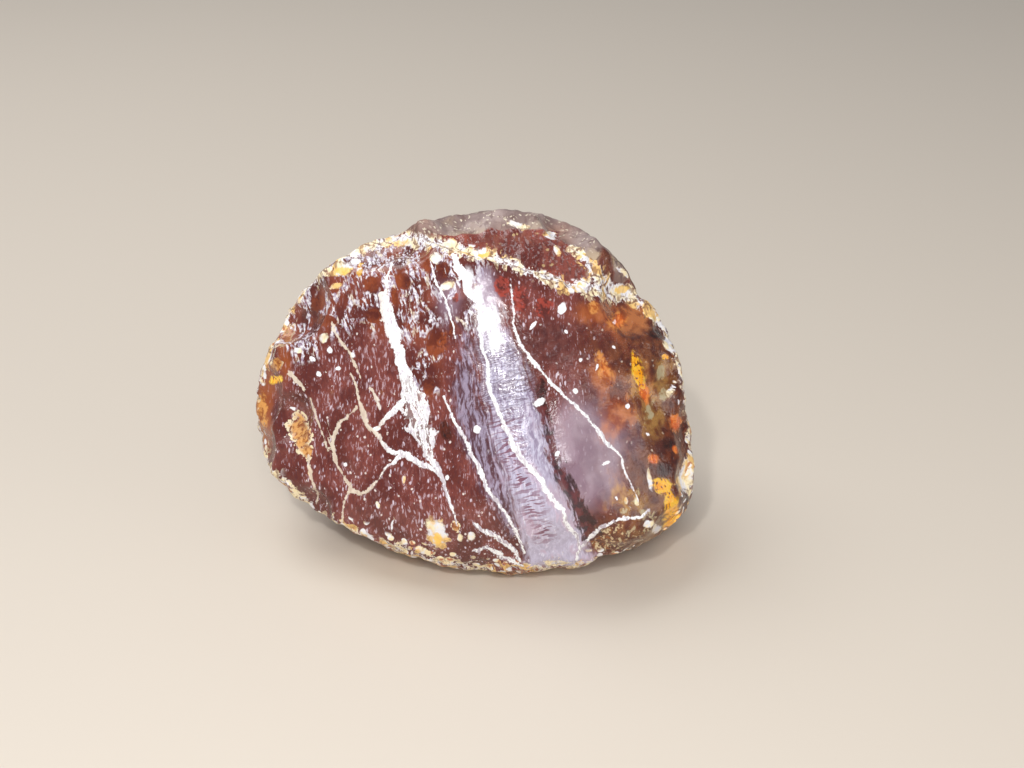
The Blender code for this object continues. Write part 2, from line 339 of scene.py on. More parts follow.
# Stains and inclusions seen in the broken face: (across, up, half width, half height, turn in
# degrees). A turn above nothing leans the upright direction to the left.
STAINS = {
    "cream": [
        (-3.8, -14.2, 1.15, 1.7, 20), (4.3, 16.4, 1.3, 0.4, -10), (21.1, -8.3, 1.0, 2.5, -10),
        (7.5, 15.4, 0.8, 0.3, -10), (8.1, 13.7, 0.35, 0.8, 15), (10.4, 10.2, 1.0, 0.65, -12),
        (0.7, 13.4, 1.2, 0.7, 5), (14.4, 9.8, 1.4, 0.8, -10), (17.6, 7.3, 1.0, 0.5, -48),
        (19.3, 4.4, 0.5, 1.3, 22), (-13.1, 11.9, 1.2, 0.6, 25), (-11.8, 12.7, 0.7, 0.5, 0),
        (-7.0, 14.6, 1.2, 0.5, 0), (-2.6, 14.6, 0.9, 0.6, 10), (-20.6, 3.0, 0.4, 1.0, -25),
        (-21.0, -6.4, 0.3, 0.6, 20), (-17.9, -10.4, 0.4, 0.5, 30), (-16.2, -11.6, 0.6, 0.25, -35),
        (-3.9, 13.1, 0.7, 0.6, 0), (-1.7, -14.6, 0.35, 0.45, 0), (-0.5, -14.6, 0.4, 0.5, 0),
        (-5.6, -16.0, 0.5, 0.25, -25), (-7.2, -15.3, 0.4, 0.3, 0), (-10.7, -14.3, 0.9, 0.25, -20),
        (17.45, -9.0, 0.3, 1.5, 12), (15.9, -11.2, 0.3, 0.5, 10),
        (17.2, -13.4, 0.6, 0.5, 0), (18.1, -13.9, 0.5, 0.6, 10), (14.9, -11.0, 0.2, 0.5, 0),
        (19.6, 0.2, 0.4, 1.3, -14), (10.8, 13.5, 0.4, 0.6, -20), (-2.8, 10.3, 0.8, 0.4, 10),
        (-18.6, 6.9, 0.3, 0.8, -35), (-16.4, -7.9, 0.2, 1.0, 12), (-15.0, 5.2, 0.6, 0.5, 0),
        (-13.9, 10.2, 0.8, 0.3, 20), (14.7, 11.5, 0.3, 0.9, 40), (-8.2, -13.4, 0.15, 0.8, -8),
        (-9.7, -11.5, 0.2, 0.5, 15), (-7.0, -8.9, 0.25, 0.5, 0), (-17.7, 3.9, 0.5, 0.35, 0),
    ],
    # Yellow resin, and on the right painted glints of light through it
    "yellow": [
        (-19.8, 1.0, 0.8, 0.5, 0), (18.7, -9.6, 1.05, 0.95, 0), (19.5, -11.4, 0.85, 1.5, 8),
        (19.5, -13.2, 0.95, 1.2, 0), (16.2, 1.7, 0.6, 2.3, 14), (3.1, 13.4, 0.8, 0.45, -20),
        (-13.1, 11.8, 0.8, 0.4, 20), (-11.4, 11.9, 0.3, 0.9, -15), (0.9, 13.3, 0.7, 0.35, 0),
        (14.6, 9.9, 0.7, 0.4, 0), (-3.7, -14.7, 0.4, 0.6, 10), (18.9, 3.2, 0.5, 0.35, 0),
        (11.0, 13.4, 0.2, 0.35, 0), (10.2, 10.3, 0.4, 0.25, 0),
    ],
    # Orange stains, and at the upper right painted glows of light through the resin
    "orange": [
        (-17.35, -4.3, 0.85, 1.9, 10), (-16.7, -6.2, 0.45, 0.9, 14), (12.8, 2.0, 0.8, 2.0, 15),
        (16.9, -0.2, 0.6, 1.4, 20), (11.7, 8.2, 0.7, 0.7, 0), (14.2, 6.8, 1.2, 1.0, 10),
        (-21.3, -1.8, 0.7, 2.2, 0), (-18.5, 5.4, 0.45, 1.2, -25), (-19.9, 2.3, 0.5, 0.8, -20),
        (-2.0, -13.4, 0.4, 0.5, 0), (-21.2, -4.6, 0.4, 1.2, 0), (19.9, -3.4, 0.7, 1.0, 10),
        (17.8, -6.9, 0.7, 0.7, 30), (19.8, -6.0, 0.35, 0.6, 20),
    ],
    "brown": [
        (-3.8, 4.7, 1.35, 1.6, 0), (-9.9, 7.3, 1.25, 1.1, 0), (-7.2, 10.9, 0.9, 1.1, 0),
        (-3.1, 12.0, 0.8, 0.9, 0), (-15.7, 8.7, 0.8, 0.9, 0), (-14.8, 6.8, 1.2, 0.6, -10),
        (-10.3, 10.6, 0.7, 0.9, 0), (-8.1, 9.2, 0.4, 1.2, 15), (-4.9, 12.9, 0.5, 1.2, 10),
        (-4.5, 0.2, 0.6, 1.1, 0), (-2.2, 6.2, 0.5, 0.9, 0), (20.9, -3.5, 1.0, 2.4, 0),
        (18.8, -7.2, 1.7, 1.3, 0), (19.4, -4.2, 0.9, 1.6, 0),
    ],
    "dark": [
        (18.9, -8.0, 0.9, 0.9, 0), (21.0, -11.0, 0.55, 0.6, 0), (19.1, -5.4, 0.8, 0.8, 0),
        (17.9, 5.5, 0.9, 0.5, -20), (-2.9, -3.9, 0.6, 1.2, 10),
    ],
    "red": [
        (4.5, 8.9, 0.9, 1.6, 0), (2.8, 10.4, 0.8, 1.3, 0), (6.8, 8.4, 0.9, 1.1, 0), (-2.0, 9.0, 0.4, 0.7, 0),
    ],
    "olive": [
        (17.4, -2.2, 0.45, 1.3, -16), (19.0, -0.3, 0.5, 1.1, -20), (15.6, -11.3, 0.5, 0.3, 20),
        (18.4, 1.6, 0.4, 0.8, -10), (14.6, -12.0, 0.4, 0.3, 0), (16.8, -12.2, 0.7, 0.4, 10),
        (16.2, -10.2, 0.3, 0.5, 0),
    ],
    # White dots: flecks on the left, painted glints on the right
    "dots": [
        (8.56, 8.0, 0.45, 0.7, -10), (5.7, 6.4, 0.22, 0.65, -45), (6.85, 10.8, 0.3, 0.3, 0),
        (13.8, 6.7, 0.25, 0.25, 0), (12.1, 2.2, 0.15, 0.5, -20), (6.4, -1.2, 0.75, 0.38, 25),
        (0.25, -4.0, 0.42, 0.42, 0), (4.1, -6.0, 0.28, 0.28, 0), (8.1, -6.4, 0.3, 0.3, 0),
        (13.0, -7.4, 0.5, 0.22, 20), (15.1, -1.65, 0.3, 0.3, 0), (-12.9, -7.4, 0.25, 0.25, 0),
        (-9.85, -3.9, 0.35, 0.28, 0), (-16.3, 3.1, 0.35, 0.3, 0), (-14.4, 4.0, 0.3, 0.35, 0),
        (-15.6, 1.7, 0.3, 0.3, 0), (-18.1, -1.9, 0.3, 0.5, 15), (-13.7, 2.2, 0.35, 0.25, 0),
        (-12.2, 3.3, 0.25, 0.3, 0), (10.4, 3.1, 0.25, 0.25, 0), (9.9, -0.2, 0.22, 0.3, 0),
        (17.3, -4.4, 0.25, 0.25, 0), (14.0, -10.8, 0.2, 0.3, 0), (-2.7, -8.9, 0.28, 0.28, 0),
        (13.9, 4.3, 0.2, 0.2, 0), (9.2, 5.6, 0.2, 0.2, 0),
    ],
}

# Patches with soft edges: (across, up, half width, half height)
PATCHES = {
    # Milky clouds in the right flank, and beside the top of the band, their pale lilac partly a painted sheen
    "haze": [(11.6, -5.2, 4.6, 4.6), (10.8, -9.2, 3.6, 3.4), (0.8, 9.5, 1.8, 2.6), (-2.6, 8.6, 1.5, 2.6)],
    # Warm resin with a painted glow of the light that gets into it, at the upper right and along the left
    # edge
    "glow": [
        (14.9, 7.0, 2.6, 1.6), (12.8, 1.5, 1.3, 2.4), (14.2, -2.2, 1.8, 2.4), (16.6, 0.6, 1.3, 2.4),
        (11.8, 7.6, 2.0, 1.2), (-20.9, -2.0, 0.9, 5.0), (-18.9, 4.6, 0.8, 3.2),
    ],
    # Golden resin at the right
    "gold": [
        (16.4, 0.6, 1.2, 2.4), (15.4, -11.0, 2.4, 1.6), (17.6, -2.6, 1.4, 2.6), (18.9, 1.2, 1.2, 2.4),
        (17.4, -14.6, 1.6, 1.0),
    ],
    # The net of pale strands on the brow
    "strands": [
        (-7.0, 12.4, 8.0, 3.0), (-1.5, 9.4, 2.4, 3.6), (-14.6, 8.2, 3.5, 3.4), (-5.8, 7.6, 2.6, 3.2),
        (-9.6, 8.0, 2.0, 3.0), (-4.6, 1.8, 1.6, 3.0), (-17.2, 4.6, 2.2, 2.0),
    ],
    # Where the specks are closest
    "speckled": [
        (-11.0, 0.0, 4.0, 5.0), (-5.0, -8.0, 3.0, 4.0), (-14.5, 4.0, 4.0, 3.0), (-6.5, -12.0, 4.5, 3.5),
        (-16.5, -3.0, 2.5, 5.0), (2.0, -12.0, 2.5, 3.0),
    ],
    # Where dark notches cross the band
    "ladder": [
        (2.5, 3.6, 4.0, 2.4), (4.8, 0.4, 4.4, 2.4), (3.0, -3.0, 2.0, 2.4), (3.5, -6.0, 1.6, 2.2),
        (4.6, -8.8, 1.5, 2.2), (5.8, -11.6, 1.4, 2.0), (1.0, -2.0, 1.6, 3.0), (6.8, -14.2, 1.2, 1.2),
    ],
    # Painted highlight: the whitest place, at the top of the ridge
    "bruise": [(1.4, 7.0, 1.7, 1.4), (0.3, 9.2, 0.6, 1.8), (2.0, 5.0, 0.9, 1.4), (-0.6, 11.0, 0.6, 1.4)],
    # Gritty resin at the lower right
    "grit": [(14.2, -14.8, 3.4, 1.5), (17.6, -13.4, 1.6, 1.4)],
    # Painted shade beside the band and in the hollow at the right
    "shade": [(7.2, 4.6, 3.0, 2.6), (4.4, 2.0, 2.0, 3.0), (18.8, -7.2, 1.6, 1.2)],
    # The grey top edge behind the step, kept plain grey as a painted sheen
    "ledge": [(3.0, 17.4, 9.0, 1.6), (-2.0, 16.2, 4.0, 1.0), (11.0, 15.2, 2.4, 1.6)],
}

# The numbers that the points of the skin hold for the finish, up to three under each name
STORED = {
    "spot": ("across", "up", "out"),
    "cracks_a": ("aside_a", "half_a"),
    "cracks_b": ("aside_b", "half_b"),
    "cracks_c": ("aside_c", "half_c"),
    "cracks_d": ("aside_d", "half_d"),
    "valley": ("valley", "valley_half"),
    "strips": ("band", "dusk", "slope_crust"),
    "edge": ("rim", "rim_half", "front"),
    "behind": ("riser", "scarred", "brink"),
    "stains_a": ("cream", "yellow", "orange"),
    "stains_b": ("brown", "dark", "red"),
    "stains_c": ("olive", "dots", "right"),
    "patches_a": ("haze", "glow", "gold"),
    "patches_b": ("strands", "speckled", "ladder"),
    "patches_c": ("bruise", "grit", "shade"),
    "patches_d": ("ledge",),
}

# Grains that break up edges and colours: the size of their blotches in millimetres, their detail
# and roughness, and whether they lie straight ("spot") or lean with the band ("flow")
GRAINS = {
    "broad": (7.0, 6.0, 6.5, 2.0, 0.5, "spot"),
    "coarse": (2.6, 3.2, 2.6, 2.0, 0.5, "spot"),
    "medium": (0.9, 1.1, 0.9, 3.0, 0.5, "spot"),
    "fine": (0.28, 0.34, 0.3, 2.0, 0.5, "spot"),
    "flecks": (0.42, 0.75, 0.6, 2.0, 0.6, "spot"),
    "dashes": (0.20, 0.75, 0.4, 3.0, 0.6, "spot"),
    "streak": (0.30, 1.3, 0.8, 3.0, 0.6, "flow"),
    "along": (0.35, 3.0, 1.0, 2.0, 0.5, "flow"),
    "ripples": (0.9, 0.15, 0.6, 2.0, 0.5, "flow"),
    "steps": (1.1, 0.24, 0.8, 1.0, 0.4, "flow"),
}

# The measure of a pattern of cells that gives the walls between them
WALLS = "DISTANCE_TO_EDGE"

# Low relief, as cell size and height: crust on the rim, pits of the back, and the broken face
CRUST_BUMPS = [(0.9, 0.20), (0.45, 0.12)]
CRUST_FADE = 0.9
BACK_BUMPS = [(1.3, 0.20), (0.6, 0.10)]
FACE_BUMPS = [(0.8, 0.035)]
CRACK_HEIGHT = 0.10

# Height above the foot over which the relief fades in, and below which the skin is set flat
FOOT_FADE = 0.4
FOOT_FLAT = 0.03

# How far the marks wander from their plain shapes: cell size and distance
DRIFT = [(1.7, 0.22), (0.7, 0.09)]

# The resin: how strongly it bends light, the light that it lets through and how soon it takes
# away the rest, how bright the painted glow of its glints is, how high its finest bumps are, and no glow at
# all
AMBER_IOR = 1.54
AMBER_LIGHT = (0.945, 0.62, 0.12, 1.0)
AMBER_DENSITY = 420.0
GLINT_STRENGTH = 0.95
BUMP_HEIGHT = 0.16 * MM
UNLIT = (0.0, 0.0, 0.0, 1.0)

# How far the band and its streaks lean from upright
FLOW_LEAN = math.radians(15)

# Sides of the grid that each side of the cube carries, and how far it leans to the broken face
SIDE_STEPS = 126
FRONT_LEAN = 0.42


def seen_from_eye(points):
    """Where points appear, across and up, on the plane through the middle, looking from the eye."""
    across, up, out = ((points - MIDDLE) @ FACE_AXES.T).T
    nearer = EYE[2] / (EYE[2] - out)
    return EYE[0] + (across - EYE[0]) * nearer, EYE[1] + (up - EYE[1]) * nearer


def cube_grid(steps):
    """The points and squares of a grid on the six sides of a cube, from -1 to 1, closed at its edges.

    On each side the two parameters are the other two coordinates. Points that sides share are one.
    """
    first, second = np.meshgrid(np.arange(steps + 1), np.arange(steps + 1), indexing="ij")
    corner = np.arange(steps * (steps + 1)).reshape(steps, steps + 1)[:, :-1].ravel()
    points, squares = [], []
    for axis in range(3):
        for end in (0, steps):
            place = np.zeros((first.size, 3), int)
            place[:, axis] = end
            place[:, (axis + 1) % 3] = first.ravel()
            place[:, (axis + 2) % 3] = second.ravel()
            square = np.stack([corner, corner + steps + 1, corner + steps + 2, corner + 1], axis=1)
            squares.append((square if end else square[:, ::-1]) + sum(map(len, points)))
            points.append(place)
    places, number = np.unique(np.concatenate(points), axis=0, return_inverse=True)
    return places * 2 / steps - 1, number.ravel()[np.concatenate(squares)]


def stone_rays(steps):
    """Rays through a grid on a cube: the tangent of each coordinate evens them out, and a push
    towards the broken face makes them denser there."""
    grid, squares = cube_grid(steps)
    rays = np.tan(grid * math.pi / 4)
    rays /= np.linalg.norm(rays, axis=1)[:, None]
    rays[:, 2] += FRONT_LEAN
    rays /= np.linalg.norm(rays, axis=1)[:, None]
    return rays @ FACE_AXES, squares


def path_field(across, up, paths):
    """How far aside of the nearest path each point is, and the path's half width there.

    The first is minus on one side of the path and plus on the other. The second falls below
    nothing past a path's ends and well to the side of it.
    """
    nearest = np.full(len(across), FAR)
    aside = np.full(len(across), FAR)
    half = np.full(len(across), -3.0)
    for path in paths:
        last = len(path) - 2
        for number, ((x0, y0, w0), (x1, y1, w1)) in enumerate(zip(path, path[1:])):
            dx, dy = x1 - x0, y1 - y0
            length = math.hypot(dx, dy)
            share = ((across - x0) * dx + (up - y0) * dy) / length**2
            held = np.clip(share, 0, 1)
            gap = np.hypot(across - x0 - held * dx, up - y0 - held * dy)
            past = np.zeros(len(across))
            if number == 0:
                past = np.maximum(-share, 0) * length
            if number == last:
                past = np.maximum(past, (share - 1) * length)
            width = w0 + (w1 - w0) * held
            wide = width - 3 * past - 4 * np.clip(gap - width - 0.9, 0, 1)
            nearer = gap < nearest
            nearest[nearer] = gap[nearer]
            aside[nearer] = (gap * np.sign((across - x0) * dy - (up - y0) * dx))[nearer]
            half[nearer] = wide[nearer]
    return np.clip(aside, -6, 6), np.maximum(half, -3)


def stain_field(across, up, stains):
    """How far inside the nearest stain each point is: 1 at its middle, 0 at its edge."""
    inside = np.full(len(across), -2.0)
    for x, y, wide, high, turn in stains:
        c, s = math.cos(math.radians(turn)), math.sin(math.radians(turn))
        right = ((across - x) * c + (up - y) * s) / wide
        above = ((up - y) * c - (across - x) * s) / high
        inside = np.maximum(inside, 1 - np.hypot(right, above))
    return inside


def soft_field(across, up, patches):
    """A patch that fades out from its middle: e to the minus square of the distance in half widths."""
    amount = np.zeros(len(across))
    for x, y, wide, high in patches:
        amount = np.maximum(amount, np.exp(-(((across - x) / wide) ** 2) - ((up - y) / high) ** 2))
    return amount


def rim_distance(across, up):
    """How far inside the rim of the broken face each point is, less than nothing outside it."""
    ring = np.array(RIM + RIM[:1])[:, :2]
    inside = np.zeros(len(across), bool)
    for (x0, y0), (x1, y1) in zip(ring, ring[1:]):
        crosses = (y0 > up) != (y1 > up)
        inside ^= crosses & (across < x0 + (up - y0) * (x1 - x0) / (y1 - y0 if y1 != y0 else 1e-9))
    return path_distance(across, up, ring) * np.where(inside, 1, -1)


def store(mesh, name, *columns):
    """Writes up to three numbers for each point of the mesh under one name."""
    columns += (columns[0] * 0,) * (3 - len(columns))
    attribute = mesh.attributes.new(name, "FLOAT_VECTOR", "POINT")
    attribute.data.foreach_set("vector", np.stack(columns, axis=1).astype(np.float32).ravel())


def stone_zones(rays):
    """Which side of the stone each ray meets: how clearly the broken face, and the step behind it.

    Each number is a difference between two distances, so it passes through nothing at the edge.
    """
    front = np.min([bulge_reach(rays, *FACES[name][:3]) for name in FRONT_FACES], axis=0)
    others = [bulge_reach(rays, *face[:3]) for name, face in FACES.items() if name not in FRONT_FACES]
    others = np.minimum(np.min(others, axis=0), outline_reach(rays))
    shelf, riser = plane_reach(rays, *SHELF), plane_reach(rays, *RISER)
    step = np.maximum(shelf, riser)
    on_front = np.minimum(others, step) - front
    on_riser = np.minimum(np.minimum(others, front) - step, (riser - shelf) * 2)
    return np.clip(on_front, -3, 8), np.clip(on_riser, -3, 3)


def bumps(points, sizes, seed):
    """Noise of several cell sizes added up, each with its height."""
    return sum(height * lattice_noise(points, cell, seed + n) for n, (cell, height) in enumerate(sizes))


def relief(points, rim, front, families):
    """Low relief of the skin: crust that fades away from the rim, proud cracks, and fine lumps."""
    crust = np.exp(-np.abs(rim) / CRUST_FADE) * bumps(points, CRUST_BUMPS, 31)
    proud = np.zeros(len(points))
    for aside, half in families:
        proud = np.maximum(proud, np.clip((half - np.abs(aside)) / 0.3, 0, 1))
    behind = np.clip(0.5 - front, 0, 1)
    pitted = bumps(points, BACK_BUMPS, 33)
    fine = bumps(points, FACE_BUMPS, 35)
    return crust + CRACK_HEIGHT * proud * (front > 0) + behind * pitted + (1 - behind) * fine


def drifted(places, across, up):
    """Where each point is looked up for the marks, pushed about by smooth noise."""
    for number, (cell, distance) in enumerate(DRIFT):
        across = across + distance * lattice_noise(places, cell, 41 + 2 * number)
        up = up + distance * lattice_noise(places, cell, 42 + 2 * number)
    return across, up


def mark_fields(across, up, families):
    """The cracks, strips, stains and patches of the skin, as numbers at each point."""
    fields = {}
    for letter, (aside, half) in zip("abcd", families + [path_field(across, up, [LOWER_CRACK])]):
        fields["aside_" + letter] = aside
        fields["half_" + letter] = half
    fields["valley"], fields["valley_half"] = path_field(across, up, [VALLEY])
    fields["rim_half"] = path_field(across, up, [RIM + RIM[:1]])[1]
    for name, strip in STRIPS.items():
        aside, half = path_field(across, up, [strip])
        fields[name] = half - np.abs(aside)
    for name, stains in STAINS.items():
        fields[name] = stain_field(across, up, stains)
    for name, patches in PATCHES.items():
        fields[name] = soft_field(across, up, patches)
    return fields


def side_fields(across, up, rim, front):
    """How far each point is round to the right, inside the rim, and on the brink just outside it.

    Behind the step the distance outside the rim counts in full, elsewhere as less.
    """
    behind_step = np.clip((up - 6) / 3, 0, 1) * np.clip((across + 9) / 2, 0, 1)
    behind_step *= np.clip((19 - across) / 1.5, 0, 1)
    brink = np.clip(0.6 - rim, 0, 0.5) * 2 * np.clip((front + 3.0) / 1.4, 0, 1)
    return {
        "right": np.clip((across - 9.5) / 7.0, 0, 1),
        "rim": np.where(rim > 0, rim, rim * (0.6 + 0.4 * behind_step)),
        "brink": brink * (1 - behind_step),
    }


def skin_mesh(places, squares):
    """A closed mesh of four-sided faces, in metres."""
    mesh = bpy.data.meshes.new("stone")
    mesh.vertices.add(len(places))
    mesh.vertices.foreach_set("co", (places * MM).astype(np.float32).ravel())
    mesh.loops.add(squares.size)
    mesh.loops.foreach_set("vertex_index", squares.ravel())
    mesh.polygons.add(len(squares))
    mesh.polygons.foreach_set("loop_start", np.arange(0, squares.size, 4))
    mesh.update(calc_edges=True)
    mesh.shade_smooth()
    return mesh


def make_stone():
    """The whole stone as one closed mesh, with its cracks, stains and zones stored on its points."""
    rays, squares = stone_rays(SIDE_STEPS)
    reach, scarred = skin_reach(rays)
    front, riser = stone_zones(rays)
    places = MIDDLE + rays * reach[:, None]
    across, up = drifted(places, *seen_from_eye(places))
    out = (places - MIDDLE) @ FACE_AXES[2]
    families = [path_field(across, up, family) for family in CRACK_FAMILIES]
    rim = rim_distance(across, up)
    turned_to_eye = (rays @ FACE_AXES[2] + 0.22) * 12
    front = np.maximum(front, np.minimum(rim, turned_to_eye))
    height = relief(places, rim, front, families)
    above_foot = np.clip(places[:, 2] / FOOT_FADE, 0, 1)
    places = places + rays * (height * above_foot)[:, None]
    places[:, 2] = np.where(places[:, 2] < FOOT_FLAT, 0, places[:, 2])

    mesh = skin_mesh(places, squares)
    fields = {"across": across, "up": up, "out": out, "front": front, "riser": riser, "scarred": scarred}
    fields |= mark_fields(across, up, families) | side_fields(across, up, rim, front)
    for name, parts in STORED.items():
        store(mesh, name, *[fields[part] for part in parts])
    upright, aslant = math.cos(FLOW_LEAN), math.sin(FLOW_LEAN)
    store(mesh, "flow", across * upright + up * aslant, up * upright - across * aslant, out)
    stone = bpy.data.objects.new("stone", mesh)
    bpy.context.scene.collection.objects.link(stone)
    return stone


class Reading:
    """A number that varies over a surface. Each sum on it adds one Math node."""

    def __init__(self, finish, socket):
        self.finish = finish
        self.socket = socket

    def work(self, operation, *others):
        node = self.finish.node("ShaderNodeMath", {"operation": operation}, dict(enumerate((self, *others))))
        return Reading(self.finish, node.outputs[0])

    def __add__(self, other):
        return self.work("ADD", other)

    def __radd__(self, other):
        return self.work("ADD", other)

    def __sub__(self, other):
        return self.work("SUBTRACT", other)

    def __rsub__(self, other):
        return self.work("MULTIPLY", -1.0) + other

    def __mul__(self, other):
        return self.work("MULTIPLY", other)

    def __rmul__(self, other):
        return self.work("MULTIPLY", other)

    def __abs__(self):
        return self.work("ABSOLUTE")

    def over(self, other):
        """The larger of the two."""
        return self.work("MAXIMUM", other)

    def ragged(self, *grains):
        """This number with grains added to it, each followed by how much of it to add."""
        total = self
        for grain, amount in zip(grains[::2], grains[1::2]):
            total = total + (grain - 0.5) * amount
        return total

    def rise(self, low, high):
        """A smooth step: 0 at low, 1 at high."""
        node = self.finish.node(
            "ShaderNodeMapRange",
            {"interpolation_type": "SMOOTHSTEP", "clamp": True},
            {"Value": self, "From Min": low, "From Max": high},
        )
        return Reading(self.finish, node.outputs["Result"])


class Finish:
    """A material and the nodes in it."""

    def __init__(self, name):
        self.material = bpy.data.materials.new(name)
        self.material.use_nodes = True
        self.tree = self.material.node_tree
        self.tree.nodes.clear()
        self.known = {}

    def node(self, kind, settings=None, values=None):
        """A node of one kind, with its settings first, then numbers or links for its sockets."""
        made = self.tree.nodes.new(kind)
        for name, setting in (settings or {}).items():
            setattr(made, name, setting)
        for name, value in (values or {}).items():
            value = value.socket if isinstance(value, Reading) else value
            if isinstance(value, bpy.types.NodeSocket):
                self.tree.links.new(value, made.inputs[name])
            else:
                made.inputs[name].default_value = value
        return made

    def read(self, *names):
        """Numbers by name, each a grain or one that the skin's points hold. Each is made once."""
        for name in names:
            if name in GRAINS and name not in self.known:
                self.known[name] = self.grain(*GRAINS[name])
            if name not in self.known:
                group = next(group for group, parts in STORED.items() if name in parts)
                source = self.node("ShaderNodeAttribute", {"attribute_name": group})
                split = self.node("ShaderNodeSeparateXYZ", None, {0: source.outputs["Vector"]})
                self.known |= {part: Reading(self, end) for part, end in zip(STORED[group], split.outputs)}
        return [self.known[name] for name in names]

    def sized(self, across, up, out, places):
        """Places on the skin, counted in steps of the three sizes in millimetres."""
        source = self.node("ShaderNodeAttribute", {"attribute_name": places})
        values = {0: source.outputs["Vector"], 1: (1 / across, 1 / up, 1 / out)}
        return self.node("ShaderNodeVectorMath", {"operation": "MULTIPLY"}, values).outputs[0]

    def grain(self, across, up, out, detail, roughness, places):
        """Noise about 0.5, whose blotches have the three sizes."""
        values = {
            "Vector": self.sized(across, up, out, places),
            "Scale": 1.0, "Detail": detail, "Roughness": roughness,
        }
        return Reading(self, self.node("ShaderNodeTexNoise", None, values).outputs[0])

    def cells(self, across, up, out, measure="F1"):
        """How far each place is from the middle of the nearest of many scattered cells of the three
        sizes, or, with the measure WALLS, from the walls between them."""
        values = {"Vector": self.sized(across, up, out, "spot"), "Scale": 1.0}
        cells = self.node("ShaderNodeTexVoronoi", {"feature": measure}, values)
        return Reading(self, cells.outputs["Distance"])

    def blend(self, share, under, over):
        """One colour laid over another."""
        mix = self.node("ShaderNodeMix", {"data_type": "RGBA"}, {0: share, 6: under, 7: over})
        return mix.outputs[2]

    def layer(self, under, *coats):
        """Coats of paint over a colour, each a share from 0 to 1 and the colour it lays on."""
        for share, paint in coats:
            under = self.blend(share, under, paint)
        return under


def tone(red, green, blue):
    """A colour given as it shows on a screen, from 0 to 255, in the numbers a shader wants."""
    parts = [c / 255 for c in (red, green, blue)]
    return tuple(c / 12.92 if c <= 0.04045 else ((c + 0.055) / 1.055) ** 2.4 for c in parts) + (1.0,)


def pale_specks(finish):
    """Where the fine pale dashes lie that fill the broken face."""
    dashes, speckled, coarse, medium = finish.read("dashes", "speckled", "coarse", "medium")
    return (dashes + speckled * 0.03).ragged(coarse, 0.2, medium, 0.2).rise(0.60, 0.67)


def specked_ground(finish, specks):
    """Red-brown resin full of pale specks, flakes and dust, browner and clearer to the right."""
    coarse, medium, dashes, flecks = finish.read("coarse", "medium", "dashes", "flecks")
    right, speckled = finish.read("right", "speckled")
    left = 1 - right
    flakes = (0.25 - finish.cells(0.48, 1.15, 0.8)).rise(0.0, 0.12)
    flakes = flakes * (flecks + speckled * 0.04).rise(0.44, 0.52)
    dust = (0.17 - finish.cells(0.9, 0.9, 0.9)).rise(0.0, 0.05) * flecks.rise(0.46, 0.54)
    return finish.layer(
        finish.blend(coarse.rise(0.38, 0.62), tone(98, 42, 35), tone(126, 64, 56)),
        ((1 - dashes).rise(0.50, 0.60) * 0.40 * left, tone(76, 38, 44)),
        (flecks.rise(0.56, 0.68) * 0.22 * left, tone(168, 134, 138)),
        (specks * 0.6 * left, tone(206, 184, 194)),
        (flakes * 0.85 * left, tone(224, 208, 220)),
        (dust * 0.9, tone(236, 224, 218)),
        (right * 0.75, finish.blend(medium.rise(0.38, 0.62), tone(106, 50, 32), tone(166, 98, 56))),
        (dust * right * 0.7, tone(236, 214, 190)),
    )


def band_notches(finish):
    """Dark notches across the band, close ripples above and coarser steps below. The second number
    is the share of the steps."""
    ripples, steps, up, ladder = finish.read("ripples", "steps", "up", "ladder")
    below = (up * -0.3 - 0.3).rise(0.0, 1.0)
    upper = (1 - ripples).rise(0.44, 0.54) * (1 - below)
    return (upper + (1 - steps).rise(0.50, 0.56) * below) * ladder, below


def band_sheen(finish, specks, notches, below):
    """The pale band on the ridge, a painted sheen: silky lilac streaks, paler and bluer lower down as painted
    reflection, a little pink, crossed by dark notches.
    """
    coarse, along, dashes, flecks = finish.read("coarse", "along", "dashes", "flecks")
    up, ladder = finish.read("up", "ladder")
    low = (up * -0.1 - 0.4).rise(0.0, 0.8)
    rungs = notches * ladder.ragged(flecks, 1.2).rise(0.15, 0.4)
    return finish.layer(
        finish.blend((along * 0.5 + dashes * 0.5).rise(0.42, 0.56), tone(152, 140, 166), tone(198, 194, 216)),
        (low * 0.6, tone(212, 206, 228)),
        ((coarse * 0.5 + along * 0.5).rise(0.50, 0.60) * (0.10 + low * 0.16), tone(204, 140, 158)),
        (specks * 0.5, tone(240, 236, 246)),
        (rungs * 0.85, finish.blend(below, tone(86, 62, 86), tone(112, 44, 68))),
    )


def face_stains(finish, colour):
    """Stains over the face, each mottled between two tones; the yellow and orange ones are partly painted
    glints of light through the resin. The tan one has a cream outline.
    """
    medium, fine, orange = finish.read("medium", "fine", "orange")
    right, across = finish.read("right", "across")
    outline = orange.ragged(medium, 1.1, fine, 0.6).rise(-0.20, -0.10)
    outline = outline * (1 - right - 0.8).rise(0.0, 0.1) * (across + 19.6).rise(0.0, 0.6)
    colour = finish.blend(outline * fine.rise(0.42, 0.50), colour, tone(238, 222, 186))
    stains = {
        "brown": (tone(92, 34, 16), tone(146, 70, 32)),
        "red": (tone(92, 36, 30), tone(164, 66, 52)),
        "orange": (
            finish.blend(right, tone(150, 84, 36), tone(206, 94, 30)),
            finish.blend(right, tone(222, 158, 84), tone(246, 160, 82)),
        ),
        "olive": (tone(190, 138, 72), tone(236, 218, 174)),
        "yellow": (
            finish.blend(fine.rise(0.36, 0.44), tone(140, 70, 8), tone(250, 160, 0)),
            tone(255, 218, 66),
        ),
        "dark": (tone(38, 14, 10), tone(84, 34, 20)),
    }
    for name, (deep, light) in stains.items():
        mark = finish.read(name)[0].ragged(medium, 1.1, fine, 0.6).rise(-0.05, 0.35)
        mottled = finish.blend((medium * 0.6 + fine * 0.4).rise(0.42, 0.58), deep, light)
        colour = finish.blend(mark * 0.9, colour, mottled)
    return colour


